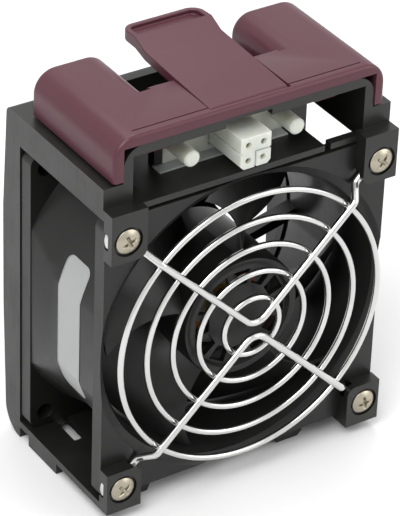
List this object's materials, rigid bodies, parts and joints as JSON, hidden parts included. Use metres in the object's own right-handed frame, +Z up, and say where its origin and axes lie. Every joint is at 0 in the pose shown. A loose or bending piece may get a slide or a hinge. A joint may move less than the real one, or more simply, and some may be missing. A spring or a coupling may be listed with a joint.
{
  "type": "server fan module",
  "caption": "Hot-swap server fan: axial fan with wire finger guard in a moulded carrier with a plug-in power connector, a clip-on handle cap and a sprung release lever.",
  "frame": {"origin": "centre of the module's footprint, on the surface its feet stand on", "axes": "+X to the right seen from the air inlet, +Y backward along the fan's axis and the air flow, +Z up towards the handle cap"},
  "size_m": [0.0808, 0.0525, 0.1092],
  "materials": {
    "black_plastic": "satin moulded",
    "fan_plastic": "semi-gloss moulded",
    "burgundy_plastic": "fine satin",
    "plated_steel": "nickel plated wire",
    "screw_steel": "zinc plated",
    "shaft_steel": "ground",
    "yoke_steel": "plated",
    "lamination_steel": "stacked sheets",
    "magnet": "bonded ferrite, matt",
    "brass": "turned",
    "copper": "enamelled wire",
    "insulator_plastic": "satin",
    "circuit_board": "solder mask",
    "white_nylon": "satin moulded",
    "contact_metal": "tinned",
    "label_paper": "matt, blank"
  },
  "bodies": {
    "module": {"carrier": "black_plastic", "handle_cap": "burgundy_plastic", "fan_housing": "fan_plastic", "front_bearing": "shaft_steel", "rear_bearing": "shaft_steel", "bearing_sleeve": "brass", "stator_core": "lamination_steel", "stator_insulator": "insulator_plastic", "stator_windings": "copper", "motor_circuit_board": "circuit_board", "guard_rings": "plated_steel", "guard_upper_wire": "plated_steel", "guard_lower_wire": "plated_steel", "guard_screws": "screw_steel", "connector_housing": "white_nylon", "connector_contacts": "contact_metal", "connector_bracket": "white_nylon", "fan_label": "label_paper"},
    "rotor": {"impeller": "fan_plastic", "rotor_yoke": "yoke_steel", "rotor_magnet": "magnet", "rotor_shaft": "shaft_steel", "shaft_clip": "shaft_steel"},
    "lever": {"release_lever": "burgundy_plastic"}
  },
  "joints": [
    {"name": "impeller_spin", "type": "hinge", "parent": "module", "child": "rotor", "pos_m": [0, -0.00385, 0.045], "axis": [0, 1, 0], "continuous": true},
    {"name": "lever_press", "type": "hinge", "parent": "module", "child": "lever", "pos_m": [0, -0.01745, 0.1048], "axis": [-1, 0, 0], "range_deg": [0, 6], "stiffness_Nm_per_rad": 0.5}
  ]
}
